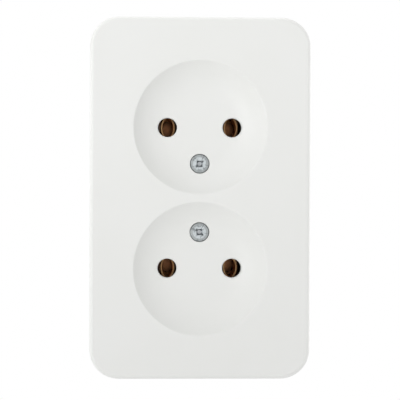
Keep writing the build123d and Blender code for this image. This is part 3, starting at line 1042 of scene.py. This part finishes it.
def backRecess(inset):  # the hollow behind the floor, round two ribs and the pads of the fixing slots
    hollow = draftedBlock("hollow", inset, -base["recessPast"], base["backRecess"])
    half = base["ribWidth"] / 2
    across, deep = 40.0, 4.0  # past all sides of the hollow
    wide, tall = base["slotWidth"] + 2 * base["slotPad"], base["slotLength"] + 2 * base["slotPad"]
    for end in (-1, 1):
        z = end * base["ribHeight"]
        cutOut(hollow, block("rib", (-across, -deep, z - half), (across, deep, z + half)))
        cutOut(hollow, roundBar("pad", 0, end * base["slotHeight"], wide, tall, wide / 2, -deep, deep))
    roundOver(hollow, base["backRecess"], base["edge"])
    return hollow


def insertPost(floor, postTop, z):
    post, edge, chamfer = base["postRadius"], base["edge"], base["postEdge"]
    profile = [(0, floor - sink), (post + edge, floor - sink), (post + edge, floor)]
    profile += arc((post + edge, floor + edge), edge, -90, -180, 4)
    profile += [(post, postTop - chamfer), (post - chamfer, postTop), (0, postTop)]
    return lathe("post", profile, steps=48, z=z)


def insertHole(postTop, z):
    shank, hole, back, end = base["shankHole"], base["insertHole"], base["insertBack"], base["shankEnd"]
    above = postTop + past
    profile = [(0, end), (shank, end), (shank, back), (hole, back), (hole, above), (0, above)]
    return lathe("insert_hole", profile, steps=60, z=z)


def chamberTube(floor, top, x, z):
    wide, tall, corner = base["chamber"]
    wall = base["chamberWall"]
    outer = (wide + 2 * wall, tall + 2 * wall, corner + wall)
    tube = roundBar("tube", x, z, *outer, floor - sink, top)
    roundOver(tube, top, base["edge"])
    cutOut(tube, roundBar("inside", x, z, wide, tall, corner, floor, top + past))
    return tube


def barPad(floor, p, side):  # what a busbar and its tabs rest on
    low, high = nodeBox("busbar_left")
    x = contactPlace("upper", p)[0]
    level, half, tabHalf = base["padLevel"], base["padWidth"] / 2, base["tabWidth"] / 2
    pad = block("pad", (x - half, -level, low.z), (x + half, sink - floor, high.z))
    for o in outlets:
        z = terminalPlace(o, p)[1]
        ends = sorted((x, x + side * base["tabReach"]))
        addOn(pad, block("tab", (ends[0], -level, z - tabHalf), (ends[1], sink - floor, z + tabHalf)))
    return pad


def makeBase():
    inset = cover["wall"] + base["gap"]
    floor, rimLevel, edge = base["floorLevel"], base["rimLevel"], base["edge"]
    top = nodeLevels("base")[1]
    tray = draftedBlock("base_moulded", inset, 0, rimLevel)
    roundOver(tray, 0, edge)
    pocket = draftedBlock("pocket", inset + base["rimWall"], floor, rimLevel + past)
    roundOver(pocket, floor, edge)
    cutOut(tray, pocket, backRecess(inset + base["rimWall"]))
    postTop = nodeLevels("threaded_insert_upper")[1]
    for o in outlets:
        addOn(tray, insertPost(floor, postTop, screwHeight[o]))
        for p in poles:
            addOn(tray, chamberTube(floor, top, *contactPlace(o, p)))
    low, high = nodeBox("busbar_left")
    barHalf = busbar["width"] / 2 + base["barGap"]
    barTop = nodeLevels("busbar_left")[1] + base["barGap"]
    well, wellEnd = base["rivetWell"]
    hole, above = base["rivetHole"], base["padLevel"] + sink
    rivetHole = [(0, -past), (well, -past), (well, wellEnd), (hole, wellEnd), (hole, above), (0, above)]
    for p, side in zip(poles, (-1, 1)):
        x = contactPlace("upper", p)[0]
        cutOut(tray, block("slot", (x - barHalf, -barTop, low.z), (x + barHalf, -floor, high.z)))
        addOn(tray, barPad(floor, p, side))
        for o in outlets:
            cutOut(tray, rodTool(*base["collarWell"], above, *terminalPlace(o, p), steps=48))
            cutOut(tray, lathe("rivet_hole", rivetHole, 48, *contactPlace(o, p)))
    for o in outlets:
        cutOut(tray, insertHole(postTop, screwHeight[o]))
    slotWide, slotTall, gapHalf = base["slotWidth"], base["slotLength"], base["gapWidth"] / 2
    for end in (-1, 1):
        slotZ = end * base["slotHeight"]
        cutOut(tray, roundBar("slot", 0, slotZ, slotWide, slotTall, slotWide / 2, -past, floor + past))
        rim = end * nodeBox("base")[1].z
        gap = sorted((rim - end * (base["rimWall"] + base["gapReach"]), rim + end * past))
        cutOut(tray, block("gap", (-gapHalf, -rimLevel - past, gap[0]), (gapHalf, -floor, gap[1])))
    cutOut(tray, roundBar("entry", 0, 0, *base["entry"], -past, floor + past))
    entryWide, entryTall = base["entry"][:2]
    roundOver(tray, base["backRecess"], base["entryEdge"], lambda edge: all(
        abs(p.co.x) < entryWide / 2 + 0.02 and abs(p.co.z) < entryTall / 2 + 0.02 for p in edge.verts))
    finishPiece(tray, "housing", "base")


makeBase()
print("base done")


# Camera and light

cameraPlace = {"x": -22.0, "z": 6.0, "fromFront": 500.0, "aim": (-0.1, -0.53), "roll": 0.22,
               "frameWidth": 116.45, "sensor": 36.0}


def makeCamera():
    front = nodeLevels("cover")[1]
    data = bpy.data.cameras.new("camera")
    camera = bpy.data.objects.new("camera", data)
    bpy.context.collection.objects.link(camera)
    place = Vector((cameraPlace["x"], -front - cameraPlace["fromFront"], cameraPlace["z"]))
    aim = Vector((cameraPlace["aim"][0], -front, cameraPlace["aim"][1]))
    look = aim - place
    roll = Quaternion((0, 0, 1), math.radians(cameraPlace["roll"]))
    camera.location = place / perMetre
    camera.rotation_euler = (look.to_track_quat("-Z", "Y") @ roll).to_euler()
    data.sensor_width = cameraPlace["sensor"]
    data.lens = cameraPlace["sensor"] * look.length / cameraPlace["frameWidth"]
    data.clip_start = 0.01
    bpy.context.scene.camera = camera


lamps = {
    "left_front": {"azimuth": -35, "height": 0, "power": 0.068, "spread": 42, "aim": 80},
    "left_side": {"azimuth": -95, "height": 0, "power": 0.047, "spread": 60, "aim": 50},
    "above": {"azimuth": 0, "height": 75, "power": 0.094, "spread": 180, "aim": 0},
    "right_rear": {"azimuth": 115, "height": 0, "power": 0.68, "spread": 180, "aim": 0},
    "top_rear": {"azimuth": 180, "height": 75, "power": 0.44, "spread": 180, "aim": 0},
}
lampSize = 0.3  # metres
lampDistance = 0.5
worldLight = 0.773


def seenRays(owner):  # 1 for the rays that show the backdrop, 0 for those that light the object
    path = addNode(owner, "ShaderNodeLightPath")
    seen = path.outputs["Is Camera Ray"]
    for ray in ("Is Glossy Ray", "Is Transmission Ray"):
        seen = mathNode(owner, "MAXIMUM", seen, path.outputs[ray])
    return seen


def makeLights():
    middle = Vector((0, -nodeLevels("cover")[1], 0)) / perMetre
    for name, lamp in lamps.items():
        data = bpy.data.lights.new(name, "AREA")
        data.shape = "DISK"
        data.size = lampSize
        data.energy = lamp["power"]
        data.spread = math.radians(lamp["spread"])
        light = bpy.data.objects.new(name, data)
        bpy.context.collection.objects.link(light)
        turn, rise = math.radians(lamp["azimuth"]), math.radians(lamp["height"])
        level = math.cos(rise)
        away = Vector((math.sin(turn) * level, -math.cos(turn) * level, math.sin(rise)))
        light.location = middle + away * lampDistance
        aim = middle + Vector((0, 0, lamp["aim"] / perMetre))
        light.rotation_euler = (aim - light.location).to_track_quat("-Z", "Y").to_euler()
    world = bpy.data.worlds.new("studio")
    bpy.context.scene.world = world
    world.use_nodes = True
    backdrop = world.node_tree.nodes["Background"]
    backdrop.inputs["Color"].default_value = (1, 1, 1, 1)
    wire(world, spread(world, seenRays(world), worldLight, 1.0, 0, 1), backdrop.inputs["Strength"])


studioFloor = {"size": 0.9, "height": -0.3, "fadeStart": 0.18, "fadeEnd": 0.44}  # metres


def makeFloor():
    size = studioFloor
    bpy.ops.mesh.primitive_plane_add(size=size["size"], location=(0, 0, size["height"]))
    floor = bpy.context.object
    floor.name = "floor"
    material, shader = startMaterial("floorPaint", (0.85, 0.85, 0.85), 0.7)
    inner, outer = size["fadeStart"] * perMetre, size["fadeEnd"] * perMetre
    outside = radiusShare(material, objectPoint(material), outer, inner)
    fade = mathNode(material, "MULTIPLY", outside, seenRays(material))
    white = addNode(material, "ShaderNodeEmission", Strength=1.0)
    mix = addNode(material, "ShaderNodeMixShader")  # the floor runs out into the white backdrop
    wire(material, fade, mix.inputs["Fac"])
    wire(material, shader.outputs["BSDF"], mix.inputs[1])
    wire(material, white.outputs["Emission"], mix.inputs[2])
    surface = material.node_tree.nodes["Material Output"].inputs["Surface"]
    wire(material, mix.outputs["Shader"], surface)
    floor.data.materials.append(material)


clearSelection()
makeCamera()
makeLights()
makeFloor()
bpy.context.scene.view_settings.view_transform = "Standard"
print("stage done")
